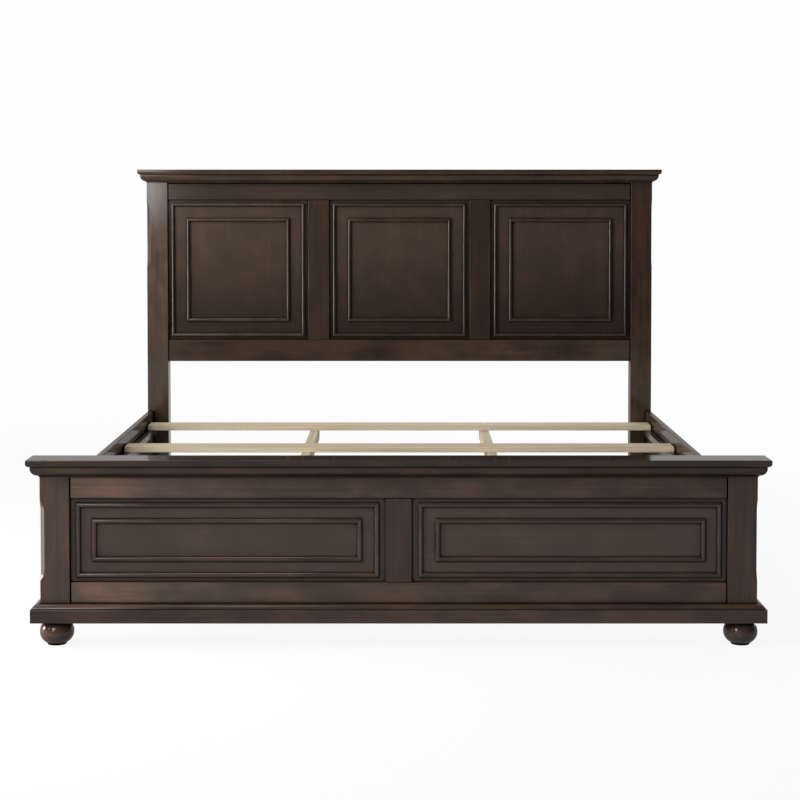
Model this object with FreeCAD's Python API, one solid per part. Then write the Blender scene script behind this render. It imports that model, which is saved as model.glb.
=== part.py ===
"""King-size panel bed: beaded headboard and footboard, hook-on side rails and a slat set on levelling legs.

+X is to the right seen from the foot end, +Y runs from foot to head, +Z is up. The origin is on the floor,
under the middle of the bed's own box. All sizes are in millimetres.
"""
import FreeCAD, Part
import math
import os

V = FreeCAD.Vector

# Mattress and the room round it
MATTRESS_WIDTH = 1930.0
MATTRESS_LENGTH = 2032.0
SIDE_ROOM = 23.0
END_ROOM = 11.0

# Members shared by headboard and footboard
POST_WIDTH = 83.5
POST_DEPTH = 68.0
ARRIS = 2.0
FRAME_THICKNESS = 44.0
FRAME_SETBACK = 3.0
PANEL_THICKNESS = 12.0
PANEL_RECESS = 8.0
GROOVE_DEPTH = 10.0
PANEL_PLAY = 1.0
TENON_LENGTH = 36.0
TENON_THICKNESS = 16.0
TENON_SHOULDER = 14.0
QUIRK_WIDTH = 4.0
QUIRK_DEPTH = 5.0
MULLION_QUIRK = 1.5
FIT = 0.15

# Headboard
HEADBOARD_HEIGHT = 1374.0
HEAD_TOP_RAIL = 100.0
HEAD_BAY_HEIGHT = 562.0
HEAD_BOTTOM_RAIL = 85.0
HEAD_BAYS = 3
HEAD_MULLION = 84.0
HEAD_OUTER_INSET = 13.0
HEAD_INNER_INSET = 74.0
HEAD_CHAMFER_LENGTH = 274.0
HEAD_CORNICE_QUIRK = 6.0

# Footboard
FOOTBOARD_HEIGHT = 531.0
FOOT_TOP_RAIL = 91.7
FOOT_BOTTOM_RAIL = 72.3
FOOT_BAYS = 2
FOOT_MULLION = 74.0
FOOT_OUTER_INSET = 13.0
FOOT_INNER_INSET = 58.5
FOOT_OUTER_AT_POST = 16.0
FOOT_INNER_AT_POST = 61.0
FOOT_OUTER_AT_MULLION = 17.5
FOOT_INNER_AT_MULLION = 66.0
FOOT_CORNICE_QUIRK = 1.5

# Half-round bead planted on the panels
BEAD_WIDTH = 14.0
BEAD_STEP = 1.5
BEAD_ROUND = 6.5

# Stopped chamfer on the outer front arris of each post
CHAMFER = 13.0
CHAMFER_TONGUE = 46.0
CHAMFER_RUNOUT = 8.0

# Cap board and cornice
CAP_OVERHANG = 33.0
CAP_THICKNESS = 20.0
CAP_FACE = 10.0
CORNICE_HEIGHT = 31.5
CORNICE_NOSE = 22.5
CORNICE_QUIRK = 1.5
COVE_RADIUS = 2.5
COVE_LIP = 0.5
COVE_FILLET = 2.0

# Plinth, base moulding and bun feet
PLINTH_THICKNESS = 38.0
PLINTH_FRONT = 24.5
PLINTH_REAR = 46.0
BASE_WIDTH = 19.0
BASE_HEIGHT = 14.3
BASE_NOSE = 2.0
BASE_FILLET = 3.0
BUN_HEIGHT = 70.0
BUN_DIAMETER = 96.5
BUN_NECK_DIAMETER = 56.0
BUN_WIDEST = 36.0
BUN_PAD_DIAMETER = 53.0
BUN_PAD_HEIGHT = 4.5
BUN_OFFSET = 1.25
HANGER_DIAMETER = 10.0
HANGER_IN_BUN = 35.0
HANGER_IN_POST = 40.0

# Side rails, ledgers and their hook-on plates
RAIL_THICKNESS = 22.0
RAIL_HEIGHT = 200.0
RAIL_TOP = 406.0
RAIL_EASE = 3.0
LEDGER_DROP = 53.0
LEDGER_WIDTH = 24.0
LEDGER_HEIGHT = 24.0
LEDGER_END = 20.0
LEDGER_SCREW_LENGTH = 38.0
PLATE_WIDTH = 16.0
PLATE_THICKNESS = 3.0
PLATE_END = 16.0
HOOK_SPACING = 56.0
HOOK_BLADE = 4.0
HOOK_NECK = 14.0
HOOK_DROP = 12.0
HOOK_REACH = 8.0
HOOK_CLEARANCE = 0.3
HOOK_POCKET_ROOM = 1.0

# Slats, beams, legs and levelling glides
SLAT_COUNT = 4
SLAT_WIDTH = 95.0
SLAT_THICKNESS = 20.0
SLAT_GAP = 6.0
SLAT_MARGIN = 143.0
SLAT_EASE = 2.0
SLAT_SCREW_LENGTH = 38.0
SLAT_SCREW_END = 9.5
BEAM_SCREW_OFFSET = 26.0
BEAM_CENTRE = 332.0
BEAM_WIDTH = 32.0
BEAM_HEIGHT = 45.0
LEG_SIDE = 40.0
LEG_BOLT_DIAMETER = 8.0
LEG_BOLT_IN_LEG = 40.0
LEG_BOLT_IN_BEAM = 26.0
GLIDE_DIAMETER = 36.0
GLIDE_HEIGHT = 8.0
GLIDE_TRAVEL = 15.0
GLIDE_STOP_GAP = 2.0
STUD_DIAMETER = 8.0
STUD_LENGTH = 45.0
STUD_FIT = 0.1
INSERT_DIAMETER = 13.0
INSERT_LENGTH = 20.0
INSERT_FLANGE = 22.0
INSERT_FLANGE_THICKNESS = 1.5
SCREW_SHANK = 4.5
SCREW_HEAD = 9.0
SCREW_RIM = 0.4

# Widths and lengths that follow
INNER_HALF = MATTRESS_WIDTH / 2 + SIDE_ROOM
OUTER_HALF = INNER_HALF + RAIL_THICKNESS
POST_INNER = OUTER_HALF - POST_WIDTH
INNER_LENGTH = MATTRESS_LENGTH + 2 * END_ROOM
OVERALL_LENGTH = CAP_OVERHANG + POST_DEPTH + INNER_LENGTH + POST_DEPTH
FOOT_FRONT = CAP_OVERHANG - OVERALL_LENGTH / 2
FOOT_REAR = FOOT_FRONT + POST_DEPTH
HEAD_FRONT = FOOT_REAR + INNER_LENGTH

# Heights that follow
PLINTH_TOP = BUN_HEIGHT + PLINTH_THICKNESS
HEAD_BAY_TOP = HEADBOARD_HEIGHT - CAP_THICKNESS - HEAD_TOP_RAIL
HEAD_BAY_BOTTOM = HEAD_BAY_TOP - HEAD_BAY_HEIGHT
FOOT_BAY_TOP = FOOTBOARD_HEIGHT - CAP_THICKNESS - FOOT_TOP_RAIL
FOOT_BAY_BOTTOM = PLINTH_TOP + FOOT_BOTTOM_RAIL
RAIL_BOTTOM = RAIL_TOP - RAIL_HEIGHT
LEDGER_TOP = RAIL_TOP - LEDGER_DROP
SLAT_TOP = LEDGER_TOP + SLAT_THICKNESS
BEAM_BOTTOM = LEDGER_TOP - BEAM_HEIGHT
LEG_BOTTOM = GLIDE_HEIGHT + GLIDE_TRAVEL + GLIDE_STOP_GAP

# Depths inside a frame, measured back from the front of its posts
PANEL_FRONT = FRAME_SETBACK + PANEL_RECESS
PANEL_BACK = PANEL_FRONT + PANEL_THICKNESS
TENON_FRONT = (PANEL_FRONT + PANEL_BACK - TENON_THICKNESS) / 2
TENON_BACK = TENON_FRONT + TENON_THICKNESS
PANEL_TONGUE = GROOVE_DEPTH - PANEL_PLAY

# Height of the hook plates, from their own middle
HOOK_CENTRES = [sign * HOOK_SPACING / 2 - HOOK_DROP / 2 for sign in (-1, 1)]
PLATE_TOP = HOOK_CENTRES[1] + HOOK_NECK / 2 + HOOK_DROP + PLATE_END
PLATE_BOTTOM = HOOK_CENTRES[0] - HOOK_NECK / 2 - HOOK_DROP - PLATE_END
PLATE_MIDDLE = (RAIL_TOP + RAIL_BOTTOM) / 2

SLAT_PITCH = (INNER_LENGTH - 2 * SLAT_MARGIN) / (SLAT_COUNT - 1)
SLAT_CENTRES = [FOOT_REAR + SLAT_MARGIN + i * SLAT_PITCH for i in range(SLAT_COUNT)]
LEG_CENTRES = {"front": SLAT_CENTRES[1], "rear": SLAT_CENTRES[-2]}
SIDES = {"left": -1, "right": 1}


# Helpers for solids

def box(x0, x1, y0, y1, z0, z1):
    """Box between two values on each axis, given in either order."""
    low = V(min(x0, x1), min(y0, y1), min(z0, z1))
    return Part.makeBox(abs(x1 - x0), abs(y1 - y0), abs(z1 - z0), low)


def long_edges(solid, axis, keep=None):
    """Straight edges along one axis ("x", "y" or "z"), filtered by a test on their middle point."""
    found = []
    for edge in solid.Edges:
        start, end = edge.Vertexes[0].Point, edge.Vertexes[-1].Point
        run = end - start
        if abs(getattr(run, axis)) > 0.999 * run.Length and (keep is None or keep((start + end) / 2)):
            found.append(edge)
    return found


def eased(solid, radius, axis, keep=None):
    """The solid with its arrises along one axis rounded."""
    return solid.makeFillet(radius, long_edges(solid, axis, keep))


def outline(start, *moves):
    """Closed face: a point is a straight move to it, a pair (through, end) is an arc."""
    edges = []
    here = start
    for move in moves:
        if isinstance(move, tuple):
            through, end = move
            edges.append(Part.Arc(here, through, end).toShape())
        else:
            end = move
            edges.append(Part.makeLine(here, end))
        here = end
    edges.append(Part.makeLine(here, start))
    return Part.Face(Part.Wire(edges))


def on_circle(centre, radius, degrees, place):
    """Point on a circle in a profile's own plane."""
    angle = math.radians(degrees)
    return place(centre[0] + radius * math.cos(angle), centre[1] + radius * math.sin(angle))


def turned(profile):
    """Solid of revolution about Z from a face in the XZ plane."""
    return profile.revolve(V(0, 0, 0), V(0, 0, 1), 360)


def rod(diameter, x, y, z0, z1, grow=0.0):
    """Upright cylinder, with its radius grown for a hole."""
    return Part.makeCylinder(diameter / 2 + grow, z1 - z0, V(x, y, z0))


def flat(u, v):
    """Point of a turned profile in the XZ plane."""
    return V(u, 0, v)


def screw(length, head_at, direction, grow=0.0, proud=0.0):
    """Countersunk screw, or with grow and proud the hole that takes it."""
    shank = SCREW_SHANK / 2 + grow
    head = SCREW_HEAD / 2 + grow
    cone_foot = shank - head - SCREW_RIM
    face = outline(flat(0, proud), flat(head, proud), flat(head, -SCREW_RIM), flat(shank, cone_foot),
                   flat(shank, -length - grow), flat(0, -length - grow))
    solid = turned(face)
    solid.Placement = FreeCAD.Placement(head_at, FreeCAD.Rotation(V(0, 0, -1), direction))
    return solid


def screw_hole(length, head_at, direction):
    """Hole for a screw whose head ends flush with the surface."""
    return screw(length, head_at, direction, FIT, SCREW_HEAD)


# Mouldings run round a rectangle and mitred at its corners

def mitred_frame(profile, width, low, high, place, height, open_back=False):
    """Strips with one profile round the rectangle low to high.

    profile(at) draws the section with at(inward, up); place(u, v, up) puts a point in space. With open_back
    the far side is left out and the two sides end square.
    """
    (u0, v0), (u1, v1) = low, high
    v_in = v1 if open_back else v1 - width
    sides = [
        (lambda t, h: place(u0, v0 + t, h), place(u1, v0, 0) - place(u0, v0, 0),
         [(u0, v0), (u1, v0), (u1 - width, v0 + width), (u0 + width, v0 + width)]),
        (lambda t, h: place(u0 + t, v0, h), place(u0, v1, 0) - place(u0, v0, 0),
         [(u0, v0), (u0 + width, v0 + width), (u0 + width, v_in), (u0, v1)]),
        (lambda t, h: place(u1 - t, v0, h), place(u1, v1, 0) - place(u1, v0, 0),
         [(u1, v0), (u1 - width, v0 + width), (u1 - width, v_in), (u1, v1)]),
        (lambda t, h: place(u0, v1 - t, h), place(u1, v1, 0) - place(u0, v1, 0),
         [(u0, v1), (u1, v1), (u1 - width, v_in), (u0 + width, v_in)]),
    ]
    strips = []
    for at, run, corners in sides[:3] if open_back else sides:
        strip = profile(at).extrude(run)
        points = [place(u, v, 0) for u, v in corners]
        lift = place(u0, v0, height) - place(u0, v0, 0)
        strips.append(strip.common(outline(*points).extrude(lift)))
    return Part.makeCompound([strip.Solids[0] for strip in strips])


def bead_profile(at):
    """Half-round bead on two small steps."""
    middle = BEAD_WIDTH / 2
    return outline(at(0, 0), at(0, BEAD_STEP),
                   (at(middle, BEAD_STEP + BEAD_ROUND), at(BEAD_WIDTH, BEAD_STEP)), at(BEAD_WIDTH, 0))


def cornice_profile(at):
    """Ovolo over a fillet and a small cove; inward 0 is the nose, up 0 is the foot against the posts."""
    wall = CORNICE_NOSE
    cove_top = COVE_RADIUS
    ovolo_foot = cove_top + COVE_FILLET
    ovolo_top = CORNICE_HEIGHT - CORNICE_QUIRK
    foot_out = COVE_LIP + COVE_RADIUS
    cove_centre = (wall - foot_out, 0)
    swell = math.sqrt(0.5)
    ovolo_middle = at((wall - foot_out) * (1 - swell), ovolo_top - (ovolo_top - ovolo_foot) * swell)
    return outline(at(wall, 0), at(wall - COVE_LIP, 0),
                   (on_circle(cove_centre, COVE_RADIUS, 45, at), at(wall - foot_out, cove_top)),
                   at(wall - foot_out, ovolo_foot),
                   (ovolo_middle, at(0, ovolo_top)), at(0, CORNICE_HEIGHT), at(wall, CORNICE_HEIGHT))


def base_profile(at):
    """Ovolo that rises from a low nose to a small fillet against the posts."""
    wall = BASE_WIDTH
    shoulder = BASE_HEIGHT - BASE_FILLET / 2
    swell = math.sqrt(0.5)
    run = wall - BASE_FILLET
    rise = shoulder - BASE_NOSE
    middle = at(run * (1 - swell), BASE_NOSE + rise * swell)
    return outline(at(wall, 0), at(0, 0), at(0, BASE_NOSE), (middle, at(run, shoulder)),
                   at(run, BASE_HEIGHT), at(wall, BASE_HEIGHT))


# Head and foot frames

class Frame:
    """Heights, depth and bays of one framed end of the bed."""

    def __init__(self, name, front, post_bottom, rail_bottom, bay_bottom, bay_top, height, bays, mullion,
                 insets, chamfer_bottom, cornice_quirk):
        self.name = name
        self.front = front
        self.post_bottom = post_bottom
        self.rail_bottom = rail_bottom
        self.bay_bottom = bay_bottom
        self.bay_top = bay_top
        self.height = height
        self.cap_bottom = height - CAP_THICKNESS
        self.mullion = mullion
        self.insets = insets
        self.chamfer_bottom = chamfer_bottom
        self.cornice_foot = self.cap_bottom - CORNICE_HEIGHT
        self.cornice_quirk = cornice_quirk
        width = (2 * POST_INNER - (bays - 1) * mullion) / bays
        self.bays = []
        for i in range(bays):
            start = -POST_INNER + i * (width + mullion)
            self.bays.append((start, start + width))


def stopped_chamfer(frame, side):
    """Cutter for the outer front arris: a 45 degree flat whose ends run out in an S of two arcs."""
    arris_x, arris_y = side * OUTER_HALF, frame.front
    inward = V(-side, 1, 0).normalize()
    across = V(side, 1, 0).normalize()

    def at(depth, z):
        return V(arris_x, arris_y, z) + inward * depth - across * CHAMFER

    deep = CHAMFER * math.sqrt(0.5)
    half, fall = CHAMFER_TONGUE / 2, deep / 2
    bend = (half ** 2 + fall ** 2) / (2 * fall)
    half_turn = math.asin(half / bend) / 2
    along, sunk = bend * math.sin(half_turn), bend * (1 - math.cos(half_turn))
    low, high = frame.chamfer_bottom - CHAMFER_RUNOUT, frame.bay_top + CHAMFER_RUNOUT
    flat_low, flat_high = low + CHAMFER_TONGUE, high - CHAMFER_TONGUE
    face = outline(at(-CHAMFER, low), at(0, low), (at(sunk, low + along), at(fall, low + half)),
                   (at(deep - sunk, flat_low - along), at(deep, flat_low)), at(deep, flat_high),
                   (at(deep - sunk, flat_high + along), at(fall, high - half)),
                   (at(sunk, high - along), at(0, high)), at(-CHAMFER, high))
    return face.extrude(across * 2 * CHAMFER)


def tenon_heights(frame):
    """Height ranges of the top and the bottom rail's tenons."""
    clear = GROOVE_DEPTH + TENON_SHOULDER
    return [(frame.bay_top + clear, frame.cap_bottom - TENON_SHOULDER),
            (frame.rail_bottom + TENON_SHOULDER, frame.bay_bottom - clear)]


def post(frame, side):
    """Post with eased arrises, mortises for the rails, a groove for the panel and the stopped chamfer."""
    front = frame.front
    inner = side * POST_INNER
    solid = box(inner, side * OUTER_HALF, front, front + POST_DEPTH, frame.post_bottom, frame.cap_bottom)
    solid = eased(solid, ARRIS, "z")
    for low, high in tenon_heights(frame):
        solid = solid.cut(box(inner, inner + side * (TENON_LENGTH + PANEL_PLAY), front + TENON_FRONT - FIT,
                              front + TENON_BACK + FIT, low - FIT, high + FIT))
    solid = solid.cut(box(inner, inner + side * GROOVE_DEPTH, front + PANEL_FRONT - FIT,
                          front + PANEL_BACK + FIT, frame.bay_bottom - GROOVE_DEPTH,
                          frame.bay_top + GROOVE_DEPTH))
    return solid.cut(stopped_chamfer(frame, side))


def rail(frame, low, high, groove_at, tenon):
    """Cross rail with a groove along one edge, and at each end a tenon and a quirk beside the post."""
    front = frame.front + FRAME_SETBACK
    solid = box(-POST_INNER, POST_INNER, front, front + FRAME_THICKNESS, low, high)
    solid = eased(solid, ARRIS, "x", lambda middle: abs(middle.y - front) < ARRIS)
    groove_end = groove_at + math.copysign(GROOVE_DEPTH, (low + high) / 2 - groove_at)
    solid = solid.cut(box(-POST_INNER, POST_INNER, frame.front + PANEL_FRONT - FIT,
                          frame.front + PANEL_BACK + FIT, groove_at, groove_end))
    for side in SIDES.values():
        end = side * POST_INNER
        solid = solid.cut(box(end, end - side * QUIRK_WIDTH, front, front + QUIRK_DEPTH, low, high))
        solid = solid.fuse(box(end, side * (POST_INNER + TENON_LENGTH),
                               frame.front + TENON_FRONT, frame.front + TENON_BACK, tenon[0], tenon[1]))
    return solid.removeSplitter()


def top_rail(frame, tenon):
    """Top rail, with a quirk along its face just under the cornice."""
    front = frame.front + FRAME_SETBACK
    solid = rail(frame, frame.bay_top, frame.cap_bottom, frame.bay_top, tenon)
    return solid.cut(box(-POST_INNER, POST_INNER, front, front + QUIRK_DEPTH,
                         frame.cornice_foot - frame.cornice_quirk, frame.cornice_foot))


def mullion(frame, x0, x1):
    """Upright between two panels, grooved both sides, with a quirk and a stub tenon at each end."""
    front = frame.front + FRAME_SETBACK
    solid = box(x0, x1, front, front + FRAME_THICKNESS, frame.bay_bottom, frame.bay_top)
    solid = eased(solid, ARRIS, "z", lambda middle: abs(middle.y - front) < ARRIS)
    y0, y1 = frame.front + PANEL_FRONT, frame.front + PANEL_BACK
    for x, inward in ((x0, 1), (x1, -1)):
        solid = solid.cut(box(x, x + inward * GROOVE_DEPTH, y0 - FIT, y1 + FIT,
                              frame.bay_bottom, frame.bay_top))
    for z, inward in ((frame.bay_bottom, 1), (frame.bay_top, -1)):
        solid = solid.cut(box(x0, x1, front, front + QUIRK_DEPTH, z, z + inward * MULLION_QUIRK))
    stub = box(x0 + GROOVE_DEPTH, x1 - GROOVE_DEPTH, y0, y1, frame.bay_bottom - PANEL_TONGUE,
               frame.bay_top + PANEL_TONGUE)
    return solid.fuse(stub).removeSplitter()


def panel(frame, bay):
    """Flat panel that floats in the grooves round one bay."""
    return box(bay[0] - PANEL_TONGUE, bay[1] + PANEL_TONGUE,
               frame.front + PANEL_FRONT, frame.front + PANEL_BACK,
               frame.bay_bottom - PANEL_TONGUE, frame.bay_top + PANEL_TONGUE)


def bead_frame(frame, bay, place):
    """Four mitred bead strips planted on the front of a panel."""
    face = frame.front + PANEL_FRONT
    inset, at_post, at_mullion = frame.insets[place]
    left = at_post if bay == frame.bays[0] else at_mullion
    right = at_post if bay == frame.bays[-1] else at_mullion
    low = (bay[0] + left, frame.bay_bottom + inset)
    high = (bay[1] - right, frame.bay_top - inset)
    return mitred_frame(bead_profile, BEAD_WIDTH, low, high, lambda u, v, up: V(u, face - up, v),
                        BEAD_STEP + BEAD_ROUND)


def cap_board(frame):
    """Board over posts and top rail, eased above and rounded under on the front and both ends."""
    edge = OUTER_HALF + CAP_OVERHANG
    under = OUTER_HALF + CORNICE_NOSE
    top, bottom = frame.height, frame.cap_bottom
    face_bottom = top - CAP_FACE
    front = frame.front - CAP_OVERHANG
    nose = frame.front - CORNICE_NOSE
    rear = frame.front + POST_DEPTH
    swell = ARRIS * (1 - math.sqrt(0.5))
    round_in = (edge - under) * (1 - math.sqrt(0.5))
    round_low = bottom + (face_bottom - bottom) * (1 - math.sqrt(0.5))
    along = outline(V(-edge, front, face_bottom),
                    (V(-edge, front + round_in, round_low), V(-edge, nose, bottom)), V(-edge, rear, bottom),
                    V(-edge, rear, top), V(-edge, front + ARRIS, top),
                    (V(-edge, front + swell, top - swell), V(-edge, front, top - ARRIS)))
    across = outline(V(-edge, front, face_bottom),
                     (V(-edge + round_in, front, round_low), V(-under, front, bottom)),
                     V(under, front, bottom),
                     (V(edge - round_in, front, round_low), V(edge, front, face_bottom)),
                     V(edge, front, top - ARRIS),
                     (V(edge - swell, front, top - swell), V(edge - ARRIS, front, top)),
                     V(-edge + ARRIS, front, top),
                     (V(-edge + swell, front, top - swell), V(-edge, front, top - ARRIS)))
    board = along.extrude(V(2 * edge, 0, 0))
    return board.common(across.extrude(V(0, rear - front, 0)))


def cornice(frame):
    """Ovolo and cove moulding under the cap board, with a mitred return at each end."""
    foot = frame.cornice_foot
    nose = OUTER_HALF + CORNICE_NOSE
    return mitred_frame(cornice_profile, CORNICE_NOSE, (-nose, frame.front - CORNICE_NOSE),
                        (nose, frame.front + POST_DEPTH), lambda u, v, up: V(u, v, foot + up),
                        CORNICE_HEIGHT, open_back=True)


def framed_end(frame, bay_names, mullion_names):
    """All the nodes of a headboard or footboard frame, its beads and its cap."""
    name = frame.name
    nodes = {}
    for word, side in SIDES.items():
        nodes[f"{name}_{word}_post"] = post(frame, side)
    top_tenon, bottom_tenon = tenon_heights(frame)
    nodes[f"{name}_top_rail"] = top_rail(frame, top_tenon)
    nodes[f"{name}_bottom_rail"] = rail(frame, frame.rail_bottom, frame.bay_bottom, frame.bay_bottom,
                                        bottom_tenon)
    for word, before, after in zip(mullion_names, frame.bays, frame.bays[1:]):
        nodes[f"{name}_{word}"] = mullion(frame, before[1], after[0])
    for word, bay in zip(bay_names, frame.bays):
        nodes[f"{name}_{word}_panel"] = panel(frame, bay)
        for place in frame.insets:
            nodes[f"{name}_{word}_{place}_bead"] = bead_frame(frame, bay, place)
    nodes[f"{name}_cap_board"] = cap_board(frame)
    nodes[f"{name}_cornice"] = cornice(frame)
    return nodes


# Plinth and feet

def foot_centre(side):
    """Middle of a bun foot in plan, slightly outside the middle of the post above it."""
    return side * (OUTER_HALF - POST_WIDTH / 2 + BUN_OFFSET), FOOT_FRONT + POST_DEPTH / 2


def plinth():
    """Board under the footboard that the posts stand on."""
    edge = OUTER_HALF + PLINTH_FRONT
    front, rear = FOOT_FRONT - PLINTH_FRONT, FOOT_REAR + PLINTH_REAR
    solid = eased(box(-edge, edge, front, rear, BUN_HEIGHT, PLINTH_TOP), ARRIS, "x")
    for side in SIDES.values():
        x, y = foot_centre(side)
        solid = solid.cut(rod(HANGER_DIAMETER, x, y, BUN_HEIGHT, PLINTH_TOP, FIT))
    return solid


def base_moulding():
    """Moulding on the plinth, mitred round the foot of the posts."""
    edge = OUTER_HALF + BASE_WIDTH
    return mitred_frame(base_profile, BASE_WIDTH, (-edge, FOOT_FRONT - BASE_WIDTH),
                        (edge, FOOT_REAR + BASE_WIDTH), lambda u, v, up: V(u, v, PLINTH_TOP + up),
                        BASE_HEIGHT)


def bun_arc(end_height):
    """Middle point of the arc from the neck, at one end of the bun, to its widest place."""
    radius, neck = BUN_DIAMETER / 2, BUN_NECK_DIAMETER / 2
    rise = end_height - BUN_WIDEST
    bend = ((radius - neck) ** 2 + rise ** 2) / (2 * (radius - neck))
    half_turn = math.copysign(math.acos((bend - radius + neck) / bend) / 2, rise)
    return flat(radius - bend + bend * math.cos(half_turn), BUN_WIDEST + bend * math.sin(half_turn))


def bun_foot(side):
    """Turned bun on a small base pad, bored for its hanger bolt."""
    radius, neck, pad = BUN_DIAMETER / 2, BUN_NECK_DIAMETER / 2, BUN_PAD_DIAMETER / 2
    face = outline(flat(0, 0), flat(pad, 0), flat(pad, BUN_PAD_HEIGHT), flat(neck, BUN_PAD_HEIGHT),
                   (bun_arc(BUN_PAD_HEIGHT), flat(radius, BUN_WIDEST)),
                   (bun_arc(BUN_HEIGHT), flat(neck, BUN_HEIGHT)), flat(0, BUN_HEIGHT))
    x, y = foot_centre(side)
    solid = turned(face)
    solid.translate(V(x, y, 0))
    return solid.cut(rod(HANGER_DIAMETER, x, y, BUN_HEIGHT - HANGER_IN_BUN, BUN_HEIGHT, FIT))


def hanger_bolt(side, grow=0.0):
    """Bolt from the bun foot through the plinth into the post."""
    x, y = foot_centre(side)
    return rod(HANGER_DIAMETER, x, y, BUN_HEIGHT - HANGER_IN_BUN, PLINTH_TOP + HANGER_IN_POST, grow)


# Side rails and their fittings

def rail_end(end):
    """Depth of the joint at the "foot" or "head" end, and the direction from the rail into the post."""
    return (FOOT_REAR, -1) if end == "foot" else (HEAD_FRONT, 1)


def rail_centre(side):
    """Middle of a side rail's thickness."""
    return side * (INNER_HALF + RAIL_THICKNESS / 2)


def plate_box(side, start, depth, grow=0.0):
    """Plain plate on a rail end or in a post face."""
    x = rail_centre(side)
    half = PLATE_WIDTH / 2 + grow
    return box(x - half, x + half, start, start + depth, PLATE_MIDDLE + PLATE_BOTTOM - grow,
               PLATE_MIDDLE + PLATE_TOP + grow)


def hook_plate(side, end):
    """Plate let into the rail end, with two hooks that drop behind the catch plate."""
    face, into = rail_end(end)
    solid = plate_box(side, face, -into * PLATE_THICKNESS)
    x0, x1 = rail_centre(side) - HOOK_BLADE / 2, rail_centre(side) + HOOK_BLADE / 2
    behind = face + into * (PLATE_THICKNESS + HOOK_CLEARANCE)
    for centre in HOOK_CENTRES:
        low, high = PLATE_MIDDLE + centre - HOOK_NECK / 2, PLATE_MIDDLE + centre + HOOK_NECK / 2
        solid = solid.fuse(box(x0, x1, face, behind, low, high))
        solid = solid.fuse(box(x0, x1, behind, behind + into * HOOK_REACH, low - HOOK_DROP, high))
    return solid.removeSplitter()


def hook_rooms(side, end, start, depth, drop, grow):
    """Slots or pockets round the two hooks, long enough to lift the hooks in."""
    into = rail_end(end)[1]
    half = HOOK_BLADE / 2 + grow
    x = rail_centre(side)
    rooms = []
    for centre in HOOK_CENTRES:
        low = PLATE_MIDDLE + centre - HOOK_NECK / 2 - drop
        high = PLATE_MIDDLE + centre + HOOK_NECK / 2 + HOOK_DROP + HOOK_POCKET_ROOM
        rooms.append(box(x - half, x + half, start, start + into * depth, low, high))
    return rooms


def catch_plate(side, end):
    """Slotted plate let into the post, flush with its face."""
    face, into = rail_end(end)
    solid = plate_box(side, face, into * PLATE_THICKNESS)
    for slot in hook_rooms(side, end, face, PLATE_THICKNESS, 0.0, HOOK_CLEARANCE):
        solid = solid.cut(slot)
    return solid


def cut_for_catch(solid, side, end):
    """A post with the recess for its catch plate and the pockets behind the slots."""
    face, into = rail_end(end)
    solid = solid.cut(plate_box(side, face, into * PLATE_THICKNESS, FIT))
    depth = PLATE_THICKNESS + HOOK_CLEARANCE + HOOK_REACH + HOOK_POCKET_ROOM
    for pocket in hook_rooms(side, end, face, depth, HOOK_DROP + HOOK_POCKET_ROOM, HOOK_POCKET_ROOM):
        solid = solid.cut(pocket)
    return solid


def ledger_screws(side):
    """Screws through one ledger, two in each gap between slats, as pairs of head point and direction."""
    head_x = side * (INNER_HALF - LEDGER_WIDTH)
    height = LEDGER_TOP - LEDGER_HEIGHT / 2
    return [(V(head_x, centre + SLAT_PITCH * part, height), V(side, 0, 0))
            for centre in SLAT_CENTRES[:-1] for part in (1 / 3, 2 / 3)]


def side_rail(side):
    """Long rail with eased edges, recessed at both ends for its hook plates."""
    solid = box(side * INNER_HALF, side * OUTER_HALF, FOOT_REAR, HEAD_FRONT, RAIL_BOTTOM, RAIL_TOP)
    solid = eased(solid, RAIL_EASE, "y")
    for end in ("foot", "head"):
        face, into = rail_end(end)
        solid = solid.cut(plate_box(side, face, -into * PLATE_THICKNESS, FIT))
    for head, direction in ledger_screws(side):
        solid = solid.cut(screw_hole(LEDGER_SCREW_LENGTH, head, direction))
    return solid


def ledger(side):
    """Strip screwed to the inside of a side rail, which carries the slat ends."""
    inner = INNER_HALF - LEDGER_WIDTH
    solid = box(side * inner, side * INNER_HALF, FOOT_REAR + LEDGER_END, HEAD_FRONT - LEDGER_END,
                LEDGER_TOP - LEDGER_HEIGHT, LEDGER_TOP)
    for head, direction in ledger_screws(side):
        solid = solid.cut(screw_hole(LEDGER_SCREW_LENGTH, head, direction))
    for centre in SLAT_CENTRES:
        solid = solid.cut(screw_hole(SLAT_SCREW_LENGTH, slat_end_head(side, centre), V(0, 0, -1)))
    return solid


# Slats, beams and legs

def slat_end_head(side, centre):
    """Head of the screw at one end of a slat."""
    return V(side * (INNER_HALF - SLAT_GAP - SLAT_SCREW_END), centre, SLAT_TOP)


def slat_beam_head(side, centre):
    """Head of the screw from a slat into a beam, beside the slat's middle."""
    return V(side * BEAM_CENTRE, centre + BEAM_SCREW_OFFSET, SLAT_TOP)


def slat_screw_heads(centre):
    """Heads of the four screws in one slat."""
    return [place(side, centre) for side in SIDES.values() for place in (slat_end_head, slat_beam_head)]


def slat(centre):
    """Cross slat that rests on both ledgers and both beams."""
    end = INNER_HALF - SLAT_GAP
    solid = box(-end, end, centre - SLAT_WIDTH / 2, centre + SLAT_WIDTH / 2, LEDGER_TOP, SLAT_TOP)
    solid = eased(solid, SLAT_EASE, "x")
    for head in slat_screw_heads(centre):
        solid = solid.cut(screw_hole(SLAT_SCREW_LENGTH, head, V(0, 0, -1)))
    return solid


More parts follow.
